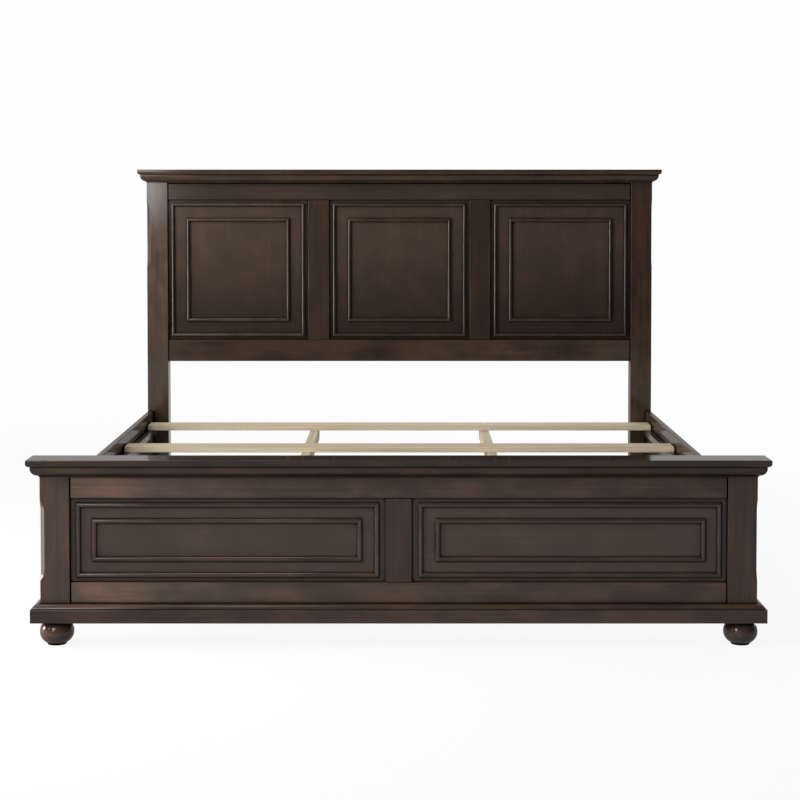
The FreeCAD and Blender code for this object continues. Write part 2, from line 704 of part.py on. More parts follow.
def support_beam(side):
    """Lengthwise beam on edge under the slats."""
    x = side * BEAM_CENTRE
    solid = box(x - BEAM_WIDTH / 2, x + BEAM_WIDTH / 2, SLAT_CENTRES[0] - SLAT_WIDTH / 2,
                SLAT_CENTRES[-1] + SLAT_WIDTH / 2, BEAM_BOTTOM, LEDGER_TOP)
    for centre in SLAT_CENTRES:
        solid = solid.cut(screw_hole(SLAT_SCREW_LENGTH, slat_beam_head(side, centre), V(0, 0, -1)))
    for centre in LEG_CENTRES.values():
        solid = solid.cut(leg_bolt(side, centre, FIT))
    return solid


def leg_bolt(side, centre, grow=0.0):
    """Hanger bolt from the top of a leg up into its beam."""
    return rod(LEG_BOLT_DIAMETER, side * BEAM_CENTRE, centre, BEAM_BOTTOM - LEG_BOLT_IN_LEG,
               BEAM_BOTTOM + LEG_BOLT_IN_BEAM, grow)


def glide_insert(side, centre, grow=0.0):
    """Flanged threaded insert flush with the foot of a leg, or with grow the recess that takes it."""
    x = side * BEAM_CENTRE
    solid = rod(INSERT_DIAMETER, x, centre, LEG_BOTTOM, LEG_BOTTOM + INSERT_LENGTH, grow)
    flange_top = LEG_BOTTOM + INSERT_FLANGE_THICKNESS
    solid = solid.fuse(rod(INSERT_FLANGE, x, centre, LEG_BOTTOM, flange_top, grow))
    if grow:
        return solid
    return solid.cut(rod(STUD_DIAMETER, x, centre, LEG_BOTTOM, LEG_BOTTOM + INSERT_LENGTH, STUD_FIT))


def support_leg(side, centre):
    """Square leg between beam and glide, bored for its bolt, its insert and the stud's travel."""
    x, half = side * BEAM_CENTRE, LEG_SIDE / 2
    solid = box(x - half, x + half, centre - half, centre + half, LEG_BOTTOM, BEAM_BOTTOM)
    solid = eased(solid, ARRIS, "z")
    solid = solid.cut(leg_bolt(side, centre, FIT))
    solid = solid.cut(glide_insert(side, centre, FIT))
    stud_room = GLIDE_HEIGHT + STUD_LENGTH + GLIDE_TRAVEL + GLIDE_STOP_GAP
    return solid.cut(rod(STUD_DIAMETER, x, centre, LEG_BOTTOM, stud_room, HOOK_CLEARANCE))


def glide(side, centre):
    """Levelling glide: a dished steel foot on a threaded stud."""
    radius, stud = GLIDE_DIAMETER / 2, STUD_DIAMETER / 2
    rim = GLIDE_HEIGHT / 2
    top = GLIDE_HEIGHT + STUD_LENGTH
    solid = turned(outline(flat(0, 0), flat(radius, 0), flat(radius, rim), flat(stud, GLIDE_HEIGHT),
                           flat(stud, top), flat(0, top)))
    solid.translate(V(side * BEAM_CENTRE, centre, 0))
    return solid


# All nodes

def build():
    """Every piece of the bed under the name of its node."""
    head = Frame("headboard", HEAD_FRONT, 0.0, HEAD_BAY_BOTTOM - HEAD_BOTTOM_RAIL, HEAD_BAY_BOTTOM,
                 HEAD_BAY_TOP, HEADBOARD_HEIGHT, HEAD_BAYS, HEAD_MULLION,
                 {"outer": (HEAD_OUTER_INSET, HEAD_OUTER_INSET, HEAD_OUTER_INSET),
                  "inner": (HEAD_INNER_INSET, HEAD_INNER_INSET, HEAD_INNER_INSET)},
                 HEAD_BAY_TOP - HEAD_CHAMFER_LENGTH, HEAD_CORNICE_QUIRK)
    foot = Frame("footboard", FOOT_FRONT, PLINTH_TOP, PLINTH_TOP, FOOT_BAY_BOTTOM, FOOT_BAY_TOP,
                 FOOTBOARD_HEIGHT, FOOT_BAYS, FOOT_MULLION,
                 {"outer": (FOOT_OUTER_INSET, FOOT_OUTER_AT_POST, FOOT_OUTER_AT_MULLION),
                  "inner": (FOOT_INNER_INSET, FOOT_INNER_AT_POST, FOOT_INNER_AT_MULLION)},
                 FOOT_BAY_BOTTOM, FOOT_CORNICE_QUIRK)
    nodes = framed_end(head, ["left", "middle", "right"], ["left_mullion", "right_mullion"])
    nodes.update(framed_end(foot, ["left", "right"], ["mullion"]))
    nodes["plinth"] = plinth()
    nodes["base_moulding"] = base_moulding()
    nodes["hanger_bolts"] = Part.makeCompound([hanger_bolt(side) for side in SIDES.values()])

    slat_screws, rail_screws, leg_bolts, inserts, hooks, catches = [], [], [], [], [], []
    for word, side in SIDES.items():
        nodes[f"{word}_bun_foot"] = bun_foot(side)
        nodes[f"{word}_side_rail"] = side_rail(side)
        nodes[f"{word}_ledger"] = ledger(side)
        nodes[f"{word}_support_beam"] = support_beam(side)
        rail_screws += [screw(LEDGER_SCREW_LENGTH, at, into) for at, into in ledger_screws(side)]
        for board, end in (("footboard", "foot"), ("headboard", "head")):
            node = f"{board}_{word}_post"
            nodes[node] = cut_for_catch(nodes[node], side, end)
            hooks.append(hook_plate(side, end))
            catches.append(catch_plate(side, end))
        node = f"footboard_{word}_post"
        nodes[node] = nodes[node].cut(hanger_bolt(side, FIT))
        for place, centre in LEG_CENTRES.items():
            nodes[f"{word}_{place}_leg"] = support_leg(side, centre)
            nodes[f"{word}_{place}_glide"] = glide(side, centre)
            leg_bolts.append(leg_bolt(side, centre))
            inserts.append(glide_insert(side, centre))
    for number, centre in enumerate(SLAT_CENTRES, start=1):
        nodes[f"slat_{number}"] = slat(centre)
        slat_screws += [screw(SLAT_SCREW_LENGTH, at, V(0, 0, -1)) for at in slat_screw_heads(centre)]
    groups = {"slat_screws": slat_screws, "ledger_screws": rail_screws, "leg_bolts": leg_bolts,
              "glide_inserts": inserts, "rail_hook_plates": hooks, "post_catch_plates": catches}
    for name, solids in groups.items():
        nodes[name] = Part.makeCompound(solids)
    return nodes


def main():
    """Write one STEP file for each node and print the bed's overall box."""
    os.makedirs("parts", exist_ok=True)
    whole = FreeCAD.BoundBox()
    nodes = build()
    for name, shape in nodes.items():
        shape.exportStep(os.path.join("parts", name + ".step"))
        whole.add(shape.BoundBox)
        print(name, "solids", len(shape.Solids), "valid", shape.isValid())
    print("nodes", len(nodes), "box", whole)


main()
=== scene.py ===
# %% [markdown]
# # A panel bed in espresso lacquer
# The bed is a king-size panel bed: a tall headboard with three beaded panels, a low footboard with two,
# side rails and a set of pine slats. Every board is already a solid of its own, at its real size, so the
# work here is the finish of each surface, the small hardware that a solid model keeps plain, the light
# and the camera. Loading the frame first gives every later step its places and sizes.

import math

import bmesh
import bpy
import numpy as np
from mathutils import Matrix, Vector


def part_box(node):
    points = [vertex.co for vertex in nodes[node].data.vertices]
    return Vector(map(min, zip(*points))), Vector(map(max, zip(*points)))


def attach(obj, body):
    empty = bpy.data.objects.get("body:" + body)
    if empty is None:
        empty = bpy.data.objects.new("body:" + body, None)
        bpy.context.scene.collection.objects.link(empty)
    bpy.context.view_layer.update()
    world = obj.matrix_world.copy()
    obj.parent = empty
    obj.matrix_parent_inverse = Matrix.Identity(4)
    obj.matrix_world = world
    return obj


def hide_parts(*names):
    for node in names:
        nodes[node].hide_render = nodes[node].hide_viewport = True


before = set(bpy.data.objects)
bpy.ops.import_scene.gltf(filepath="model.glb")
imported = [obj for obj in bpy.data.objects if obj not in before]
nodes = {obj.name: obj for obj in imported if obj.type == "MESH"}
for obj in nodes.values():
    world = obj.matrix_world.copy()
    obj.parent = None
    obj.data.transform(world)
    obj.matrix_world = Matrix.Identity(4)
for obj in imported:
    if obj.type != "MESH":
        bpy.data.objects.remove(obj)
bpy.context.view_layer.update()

# %% [markdown]
# ## Camera
# The bed was photographed square-on from the foot end, with a long lens at about eye height of a seated
# person. Upright edges stay upright in the picture, which a view camera does by shifting its lens. A
# little tilt takes over part of that shift here, so that the same lens still frames the bed from other
# sides. The distance is measured from the front of the footboard posts.

# %% Camera
MM = 0.001
LENS = 79.29
LENS_SHIFT = (-0.00138, -0.16875)
CAMERA_SIDE = 6.8 * MM
CAMERA_DISTANCE = 4923.5 * MM
CAMERA_HEIGHT = 1269.0 * MM
CAMERA_TILT = math.radians(2.244)

post_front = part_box("footboard_left_post")[0].y
camera_data = bpy.data.cameras.new("camera")
camera_data.lens = LENS
camera_data.shift_x, camera_data.shift_y = LENS_SHIFT
camera = bpy.data.objects.new("camera", camera_data)
camera.location = (CAMERA_SIDE, post_front - CAMERA_DISTANCE, CAMERA_HEIGHT)
camera.rotation_euler = (math.pi / 2 - CAMERA_TILT, 0, 0)
bpy.context.scene.collection.objects.link(camera)
bpy.context.scene.camera = camera
bpy.context.scene.view_settings.view_transform = "Standard"
print("camera at", camera.location[:])

# %% [markdown]
# ## Helpers for every finish
# A finish is a small graph of shader nodes. One function adds a node, sets its properties and fills its
# sockets, each with a plain value or with another node's output. Colours are written as sRGB hex, as a
# paint chart gives them, and another function turns them to the linear values that the renderer counts
# in.

# %% Colours and nodes
def linear(hex_colour):
    """Linear RGBA of an sRGB hex colour: the sRGB curve undone on each channel."""
    srgb = np.array([int(hex_colour[i:i + 2], 16) for i in (1, 3, 5)]) / 255
    channels = np.where(srgb <= 0.04045, srgb / 12.92, ((srgb + 0.055) / 1.055) ** 2.4)
    return (*channels.tolist(), 1.0)


def add(tree, kind, inputs=None, **settings):
    """A new shader node; inputs fills sockets by name or number, with a value or an output to link."""
    made = tree.nodes.new("ShaderNode" + kind)
    for key, value in settings.items():
        setattr(made, key, value)
    for key, value in (inputs or {}).items():
        if isinstance(value, bpy.types.NodeSocket):
            tree.links.new(value, made.inputs[key])
        else:
            made.inputs[key].default_value = value
    return made


def new_tree(owner):
    """The empty node tree of a new material or world."""
    owner.use_nodes = True
    owner.node_tree.nodes.clear()
    return owner.node_tree


BACKDROP = linear("#fdfdfd")
print("backdrop white in linear light:", BACKDROP)

# %% [markdown]
# ## Studio light
# A dark glossy lacquer is drawn by what it mirrors. The bed stands in a white sweep that is open towards
# the camera: the wall behind the bed is bright, the room behind the camera is dim. The world is white to
# the camera, to glass, and to gloss that looks towards the sweep. Everything else sees a low even fill,
# so the lamps shape the bed and the floor keeps its shadow.

# %% World
ROOM, SWEEP = 0.04, 0.45
SWEEP_FROM, SWEEP_TO = -0.1, 0.5

world = bpy.data.worlds.new("studio")
bpy.context.scene.world = world
tree = new_tree(world)
direction = add(tree, "TexCoord").outputs["Generated"]
towards_sweep = add(tree, "SeparateXYZ", {0: direction}).outputs["Y"]
sweep = add(tree, "MapRange", {"Value": towards_sweep, "From Min": SWEEP_FROM, "From Max": SWEEP_TO},
            interpolation_type="SMOOTHSTEP").outputs["Result"]
level = add(tree, "MapRange", {"Value": sweep, "To Min": ROOM, "To Max": SWEEP}).outputs["Result"]
path = add(tree, "LightPath").outputs
in_gloss = add(tree, "Math", {0: path["Is Glossy Ray"], 1: sweep}, operation="MULTIPLY").outputs[0]
seen = add(tree, "Math", {0: path["Is Camera Ray"], 1: path["Is Transmission Ray"]},
           operation="MAXIMUM").outputs[0]
shown = add(tree, "Math", {0: seen, 1: in_gloss}, operation="MAXIMUM").outputs[0]
studio = add(tree, "Background", {"Color": BACKDROP, "Strength": level}).outputs[0]
white = add(tree, "Background", {"Color": BACKDROP, "Strength": 1.0}).outputs[0]
mixed = add(tree, "MixShader", {0: shown, 1: studio, 2: white}).outputs[0]
add(tree, "OutputWorld", {"Surface": mixed})
print("world from", ROOM, "behind the camera to", SWEEP, "behind the bed")

# %% [markdown]
# ## Grids of points
# Every surface made here is a grid of points, computed as an array, whose neighbours are joined as quads.

# %% Surfaces
def surface(name, points, closed=False):
    """Mesh object from arrays of points: copies of a grid with rows and columns, where each four
    neighbours are joined as a quad; a closed grid joins its last column to its first."""
    index = np.arange(points[..., 0].size).reshape(points.shape[:-1])
    if closed:
        index = np.concatenate([index, index[..., :1]], axis=-1)
    low, high = index[:, :-1], index[:, 1:]
    quads = np.stack([low[..., :-1], low[..., 1:], high[..., 1:], high[..., :-1]], axis=-1)
    mesh = bpy.data.meshes.new(name)
    mesh.from_pydata(points.reshape(-1, 3).tolist(), [], quads.reshape(-1, 4).tolist())
    made = bpy.data.objects.new(name, mesh)
    bpy.context.scene.collection.objects.link(made)
    return made


FLOOR_HALF = 6.0
across = np.linspace(-FLOOR_HALF, FLOOR_HALF, 2)
floor_y, floor_x = np.meshgrid(across, across, indexing="ij")
floor = surface("floor", np.stack([floor_x, floor_y, 0 * floor_x], axis=-1)[np.newaxis])
print("floor", 2 * FLOOR_HALF, "m square")

# %% [markdown]
# ## Floor
# The floor is a plain pale sheet that runs on past the frame. To the camera and to gloss it is white
# paper that takes the bed's shadow near the bed and fades into the white of the sweep further out, so
# that no horizon line shows. For the light that bounces off it, it is a greyer sheet, which keeps the
# shadows between the boards deep.

# %% White paper
FADE_FROM, FADE_TO = 2.0, 5.0
PAPER_GLOW = 0.92
PAPER_WHITE, BOUNCE_GREY = linear("#f2f2f2"), linear("#808080")

pale = bpy.data.materials.new("matt_white_paper")
tree = new_tree(pale)
place = add(tree, "TexCoord").outputs["Object"]
reach = add(tree, "VectorMath", {0: place}, operation="LENGTH").outputs["Value"]
fading = {"Value": reach, "From Min": FADE_FROM, "From Max": FADE_TO, "To Min": PAPER_GLOW}
fade = add(tree, "MapRange", fading, interpolation_type="SMOOTHSTEP").outputs["Result"]
path = add(tree, "LightPath").outputs
seen = add(tree, "Math", {0: path["Is Camera Ray"], 1: path["Is Transmission Ray"]},
           operation="MAXIMUM").outputs[0]
seen = add(tree, "Math", {0: seen, 1: path["Is Glossy Ray"]}, operation="MAXIMUM").outputs[0]
grey = add(tree, "BsdfDiffuse", {"Color": BOUNCE_GREY}).outputs[0]
matt = add(tree, "BsdfDiffuse", {"Color": PAPER_WHITE}).outputs[0]
white = add(tree, "Emission", {"Color": BACKDROP, "Strength": 1.0}).outputs[0]
paper = add(tree, "MixShader", {0: fade, 1: matt, 2: white}).outputs[0]
mixed = add(tree, "MixShader", {0: seen, 1: grey, 2: paper}).outputs[0]
add(tree, "OutputMaterial", {"Surface": mixed})
floor.data.materials.append(pale)
print("floor fades to white from", FADE_FROM, "to", FADE_TO, "m out")

# %% [markdown]
# ## Lamps
# Softboxes as in a furniture studio, those in front all on the left, so that they act as one broad light
# from that side. Two keys, and a rake across the footboard, give every bead a bright left flank and a
# soft shadow at its right foot. A grid on the rake keeps its beam off the headboard. A small box further
# forward is mirrored as the sheen on the headboard's left post. A low one at the side is mirrored in the
# chamfer of the footboard's left post. A long one overhead lights the tops and draws the bright line
# along the upper flank of the beads. Two more stand behind the faces that the camera sees, and light the
# right side and the back for whoever walks round the bed.

# %% Lamps
BED, FOOTBOARD, LEFT_POST = (0.0, 0.0, 0.55), (0.0, -1.1, 0.35), (-1.0, -1.1, 0.32)
OPEN, GRID = 180.0, 40.0
# Each lamp's place, what it faces, its width and height, all in m, its watts and its beam in degrees
LAMPS = {
    "headboard_key": ((-3.4, -0.8, 1.1), BED, (0.9, 1.3), 114.0, OPEN),
    "footboard_key": ((-2.0, -4.4, 2.4), BED, (1.2, 1.0), 66.0, OPEN),
    "footboard_rake": ((-3.3, -2.4, 2.0), FOOTBOARD, (1.0, 1.0), 5.5, GRID),
    "sheen_softbox": ((-2.35, -5.45, 1.6), BED, (1.1, 1.0), 36.0, OPEN),
    "low_side_softbox": ((-1.95, -0.9, 0.24), LEFT_POST, (0.5, 0.46), 3.4, OPEN),
    "overhead_softbox": ((-1.3, -1.5, 4.6), BED, (2.2, 0.9), 68.0, OPEN),
    "right_softbox": ((4.0, 3.2, 1.0), BED, (1.4, 1.4), 110.0, OPEN),
    "rear_softbox": ((0.4, 4.4, 2.2), BED, (1.8, 1.6), 45.0, OPEN),
}


def softbox(name, place, target, size, watts, beam):
    """Rectangular area lamp that faces a target, with its beam narrowed to an angle in degrees."""
    lamp = bpy.data.lights.new(name, "AREA")
    lamp.shape = "RECTANGLE"
    lamp.size, lamp.size_y = size
    lamp.energy = watts
    lamp.spread = math.radians(beam)
    made = bpy.data.objects.new(name, lamp)
    made.location = place
    away = Vector(place) - Vector(target)
    made.rotation_euler = away.to_track_quat("Z", "Y").to_euler()
    made.visible_camera = False
    bpy.context.scene.collection.objects.link(made)


for name, settings in LAMPS.items():
    softbox(name, *settings)
print(len(LAMPS), "softboxes")

# %% [markdown]
# ## Wood grain
# Clouds, streaks, growth lines and fibres are the same noise at different sizes, drawn out along the
# grain of a board. Every plank takes a piece of the pattern from a place of its own, so no two boards
# look alike.

# %% Wood grain
PLANK_STEP = (31.0, 17.0, 23.0)


def per_mm(sizes):
    """Mapping scale that makes one pattern cell of these sizes in mm."""
    return tuple(1 / (size * MM) for size in sizes)


def grain_noise(tree, axis, patterns):
    """Noise values from 0 to 1, one for each pattern, which gives its cell size in mm across and along the
    grain and its detail; the grain runs along one axis, and the plank's random number moves it."""
    plank = add(tree, "ObjectInfo").outputs["Random"]
    point = add(tree, "TexCoord").outputs["Object"]
    place = add(tree, "VectorMath", {0: plank, 1: PLANK_STEP, 2: point},
                operation="MULTIPLY_ADD").outputs["Vector"]
    values = []
    for across, along, detail in patterns:
        scale = per_mm([along if axis == letter else across for letter in "xyz"])
        cell = add(tree, "Mapping", {"Vector": place, "Scale": scale}).outputs[0]
        noise = add(tree, "TexNoise", {"Vector": cell, "Scale": 1.0, "Detail": detail})
        values.append(noise.outputs["Fac"])
    return values


print("planks take their grain up to", PLANK_STEP, "m away")

# %% [markdown]
# ## Espresso stain
# The show wood is birch, wiped with an espresso stain. The stain sinks in unevenly, so the colour clouds
# from near black to warm brown over a hand's breadth, with streaks along the grain and fine fibres
# between them. Each board takes up the stain a little differently, and some are drawn paler or darker
# from one end to the other; on the headboard panels that is painted light, paler towards the top where
# the light falls from above. Beside a moulding or a rail the wood is drawn darker, as painted shade
# where the moulding shuts out the light.

# %% Espresso stain
BOARD_CLOUD, PANEL_CLOUD, POST_CLOUD = (80.0, 150.0, 4.0), (80.0, 100.0, 4.0), (36.0, 90.0, 4.0)
# Birch fibres are some tenths of a millimetre wide; they are drawn as coarse as they need to be to show
STREAK, FIBRE = (9.0, 420.0, 4.0), (3.2, 90.0, 2.0)
FIBRE_SHARE = 0.45
NOISE_MEAN = 0.5
STAIN_SPAN = 0.25
STAIN_DEEP, STAIN_MID, STAIN_WARM = linear("#372e28"), linear("#43372f"), linear("#564136")
# Painted shade: the stain darkens where occlusion within 40 mm finds a moulding or a rail
BROAD_SHADE_REACH, BROAD_SHADE_FROM, BROAD_SHADE_LEAST = 40.0, 0.5, 0.62
CORNER_RAYS = 8


def stain_colour(tree, own, clouds, streaks, fibres, brightness_ramp):
    """Stain that goes from deep over middle to warm as clouds and lines rise above their mean, times the
    board's uptake, its brightness ramp and the painted shade beside mouldings and rails; own holds the
    board's own settings."""
    lines = add(tree, "Math", {0: fibres, 1: FIBRE_SHARE, 2: streaks}, operation="MULTIPLY_ADD").outputs[0]
    lines = add(tree, "Math", {0: lines, 1: -NOISE_MEAN * (1 + FIBRE_SHARE)}, operation="ADD").outputs[0]
    depth = add(tree, "Math", {0: clouds, 1: -NOISE_MEAN}, operation="ADD").outputs[0]
    depth = add(tree, "Math", {0: depth, 1: own["figure"], 2: own["tone"]},
                operation="MULTIPLY_ADD").outputs[0]
    depth = add(tree, "Math", {0: lines, 1: own["grain"], 2: depth}, operation="MULTIPLY_ADD").outputs[0]
    low = add(tree, "MapRange", {"Value": depth, "From Min": -STAIN_SPAN,
                                 "From Max": 0.0}).outputs["Result"]
    high = add(tree, "MapRange", {"Value": depth, "From Min": 0.0,
                                  "From Max": STAIN_SPAN}).outputs["Result"]
    stain = add(tree, "Mix", {0: low, 6: STAIN_DEEP, 7: STAIN_MID}, data_type="RGBA").outputs[2]
    stain = add(tree, "Mix", {0: high, 6: stain, 7: STAIN_WARM}, data_type="RGBA").outputs[2]
    shares = [own["uptake"]]
    # Paler or darker along one axis; on the headboard panels this is painted light, paler towards the top
    if brightness_ramp:
        letter, start, end, first, last = brightness_ramp
        along = add(tree, "SeparateXYZ", {0: add(tree, "TexCoord").outputs["Object"]}).outputs[letter]
        ends = {"Value": along, "From Min": start, "From Max": end, "To Min": first, "To Max": last}
        shares.append(add(tree, "MapRange", ends, interpolation_type="SMOOTHSTEP").outputs["Result"])
    # Painted shade beside mouldings and rails, darker where they shut out more of the light
    beside = add(tree, "AmbientOcclusion", {"Distance": BROAD_SHADE_REACH * MM},
                 samples=CORNER_RAYS).outputs["AO"]
    broad_shading = {"Value": beside, "From Min": BROAD_SHADE_FROM, "To Min": BROAD_SHADE_LEAST}
    shares.append(add(tree, "MapRange", broad_shading).outputs["Result"])
    for share in shares:
        stain = add(tree, "VectorMath", {0: stain, "Scale": share}, operation="SCALE").outputs["Vector"]
    return stain


print("stain clouds of", BOARD_CLOUD[:2], PANEL_CLOUD[:2], "and", POST_CLOUD[:2], "mm")

# %% [markdown]
# ## Painted shade in the corners and sprayed lacquer
# The corners, the wood beside the beads and the quirks are painted near black as painted shade, and the
# lacquer's reflection is faded there too. A clear gloss lacquer lies over it all as a smooth film that
# rounds the arrises, so it mirrors its surroundings while the wood below stays matt.

# %% Espresso-stained lacquered birch
# Painted shade: near black, mixed into the stain where occlusion within 11 mm finds a corner
CORNER_SHADE = linear("#0d0907")
CORNER_SHADE_REACH, CORNER_SHADE_FULL, CORNER_SHADE_NONE = 11.0, 0.50, 0.90
EDGE_ROUND, EDGE_RAYS = 1.2, 4
FIBRE_DEPTH, FIBRE_RELIEF = 0.05, 0.25
WOOD_SMOOTH, WOOD_ROUGH = 0.30, 0.46
FILM_ROUGH, FILM_INDEX = 0.10, 1.5
OWN = ("uptake", "tone", "figure", "grain", "gloss")


def espresso_birch(board, axis, cloud=BOARD_CLOUD, brightness_ramp=None):
    """Espresso-stained birch for one kind of board, with its grain along one axis and clouds of a size;
    brightness_ramp names an axis, two places on it in m and the stain's strength at each."""
    made = bpy.data.materials.new("espresso_stained_lacquered_birch_" + board)
    tree = new_tree(made)
    clouds, streaks, fibres = grain_noise(tree, axis, (cloud, STREAK, FIBRE))
    own = {label: add(tree, "Attribute", attribute_type="OBJECT", attribute_name=label).outputs["Fac"]
           for label in OWN}
    stain = stain_colour(tree, own, clouds, streaks, fibres, brightness_ramp)
    # Painted shade in corners: the colour goes to near black and the lacquer's reflection fades with it
    corner = add(tree, "AmbientOcclusion", {"Distance": CORNER_SHADE_REACH * MM},
                 samples=CORNER_RAYS).outputs["AO"]
    unshaded = add(tree, "MapRange", {"Value": corner, "From Min": CORNER_SHADE_FULL, "From Max": CORNER_SHADE_NONE},
                    interpolation_type="SMOOTHSTEP").outputs["Result"]
    coat = add(tree, "Math", {0: unshaded, 1: own["gloss"]}, operation="MULTIPLY").outputs[0]
    colour = add(tree, "Mix", {0: unshaded, 6: CORNER_SHADE, 7: stain}, data_type="RGBA").outputs[2]
    film = add(tree, "Bevel", {"Radius": EDGE_ROUND * MM}, samples=EDGE_RAYS).outputs["Normal"]
    relief = add(tree, "Bump", {"Height": fibres, "Strength": FIBRE_RELIEF, "Distance": FIBRE_DEPTH * MM,
                                "Normal": film}).outputs["Normal"]
    rough = add(tree, "MapRange", {"Value": streaks, "To Min": WOOD_SMOOTH,
                                   "To Max": WOOD_ROUGH}).outputs["Result"]
    wood = add(tree, "BsdfPrincipled", {"Base Color": colour, "Roughness": rough, "Normal": relief,
                                        "Specular IOR Level": 0.0, "Coat Weight": coat,
                                        "Coat Roughness": FILM_ROUGH, "Coat IOR": FILM_INDEX,
                                        "Coat Normal": film})
    add(tree, "OutputMaterial", {"Surface": wood.outputs[0]})
    return made


# Boards with a finish of their own: the way of the grain, the clouds and the brightness ramp
SPECIAL = {
    # The headboard panels' ramp is painted light: paler towards the top, where light falls from above
    "headboard_panel": ("z", PANEL_CLOUD, ("Z", 0.70, 1.15, 0.58, 1.22)),
    "headboard_left_post": ("z", POST_CLOUD, ("Z", 0.45, 0.85, 0.75, 1.30)),
    "headboard_right_post": ("z", POST_CLOUD, ("Z", 0.45, 0.85, 1.25, 1.0)),
    "headboard_top_rail": ("x", BOARD_CLOUD, ("X", -0.75, 0.25, 0.97, 1.20)),
    "headboard_bottom_rail": ("x", BOARD_CLOUD, ("X", -0.75, 0.75, 0.62, 1.0)),
    "footboard_panel": ("x", PANEL_CLOUD),
    "footboard_rail": ("x", BOARD_CLOUD, ("X", -0.80, -0.30, 1.60, 0.95)),
    "plinth": ("x", BOARD_CLOUD, ("X", -0.45, 0.60, 0.88, 1.18)),
}
espresso = {axis: espresso_birch("grain_" + axis, axis) for axis in "xyz"}
espresso.update({board: espresso_birch(board, *settings) for board, settings in SPECIAL.items()})
print("made", [m.name for m in espresso.values()])

# %% [markdown]
# ## Bare sawn pine
# Slats, beams and legs are unfinished pine: pale straw with faint darker growth lines and a dry matt
# surface. Broad soft bands, narrow growth lines and fine fibres lie over each other.

# %% Pine
# Pine fibres are finer than this too, and are drawn at a millimetre so that they show
PINE_BAND, PINE_LINE, PINE_FIBRE = (34.0, 1200.0, 2.0), (5.0, 700.0, 3.0), (1.0, 45.0, 2.0)
PINE_PALE, PINE_DARK = linear("#d5c6ad"), linear("#b49d7d")
BAND_SHARE, FIBRE_SHADE = 0.9, 0.5
LINE_FROM, LINE_TO, LINE_LEAST, LINE_MOST = 0.48, 0.72, -0.6, 0.2
SAWN_DEPTH, SAWN_RELIEF = 0.2, 0.4
PINE_ROUGH, PINE_SHEEN = 0.75, 0.25


def bare_pine(axis):
    """Unfinished sawn pine with its grain along one axis."""
    made = bpy.data.materials.new("bare_sawn_pine_grain_" + axis)
    tree = new_tree(made)
    bands, lines, fibres = grain_noise(tree, axis, (PINE_BAND, PINE_LINE, PINE_FIBRE))
    growth = {"Value": lines, "From Min": LINE_FROM, "From Max": LINE_TO,
              "To Min": LINE_LEAST, "To Max": LINE_MOST}
    depth = add(tree, "MapRange", growth).outputs["Result"]
    depth = add(tree, "Math", {0: bands, 1: BAND_SHARE, 2: depth}, operation="MULTIPLY_ADD").outputs[0]
    depth = add(tree, "Math", {0: fibres, 1: FIBRE_SHADE, 2: depth}, operation="MULTIPLY_ADD",
                use_clamp=True).outputs[0]
    colour = add(tree, "Mix", {0: depth, 6: PINE_PALE, 7: PINE_DARK}, data_type="RGBA").outputs[2]
    relief = add(tree, "Bump", {"Height": fibres, "Strength": SAWN_RELIEF,
                                "Distance": SAWN_DEPTH * MM}).outputs["Normal"]
    wood = add(tree, "BsdfPrincipled", {"Base Color": colour, "Roughness": PINE_ROUGH, "Normal": relief,
                                        "Specular IOR Level": PINE_SHEEN})
    add(tree, "OutputMaterial", {"Surface": wood.outputs[0]})
    return made


pine = {axis: bare_pine(axis) for axis in "xyz"}
print("made", [m.name for m in pine.values()])

# %% [markdown]
# ## Zinc-plated steel
# Screws, plates, bolts and glides are steel with a thin bright zinc coat: a cool grey with a faint cloudy
# bloom.

# %% Zinc-plated steel
BLOOM, BLOOM_DETAIL = 3.0, 2.0
ZINC_DULL, ZINC_BRIGHT = linear("#b9bcc0"), linear("#d4d6d6")
ZINC_SMOOTH, ZINC_ROUGH = 0.26, 0.42

zinc = bpy.data.materials.new("bright_zinc_plated_steel")
tree = new_tree(zinc)
place = add(tree, "TexCoord").outputs["Object"]
cell = add(tree, "Mapping", {"Vector": place, "Scale": per_mm((BLOOM, BLOOM, BLOOM))}).outputs[0]
bloom = add(tree, "TexNoise", {"Vector": cell, "Scale": 1.0, "Detail": BLOOM_DETAIL}).outputs["Fac"]
colour = add(tree, "Mix", {0: bloom, 6: ZINC_DULL, 7: ZINC_BRIGHT}, data_type="RGBA").outputs[2]
rough = add(tree, "MapRange", {"Value": bloom, "To Min": ZINC_SMOOTH,
                               "To Max": ZINC_ROUGH}).outputs["Result"]
steel = add(tree, "BsdfPrincipled", {"Base Color": colour, "Metallic": 1.0, "Roughness": rough})
add(tree, "OutputMaterial", {"Surface": steel.outputs[0]})
print("made", zinc.name)

# %% [markdown]
# ## A finish for every node
# The grain runs along a board's length, and the longest side of a node's box tells which way that is. The
# tall headboard panels have upright grain. No two boards took the stain alike, so tables give the boards
# that differ from the rest their uptake of stain, their tone from deep to warm, how strongly clouds and
# grain show on them, and how much the lacquer shines.

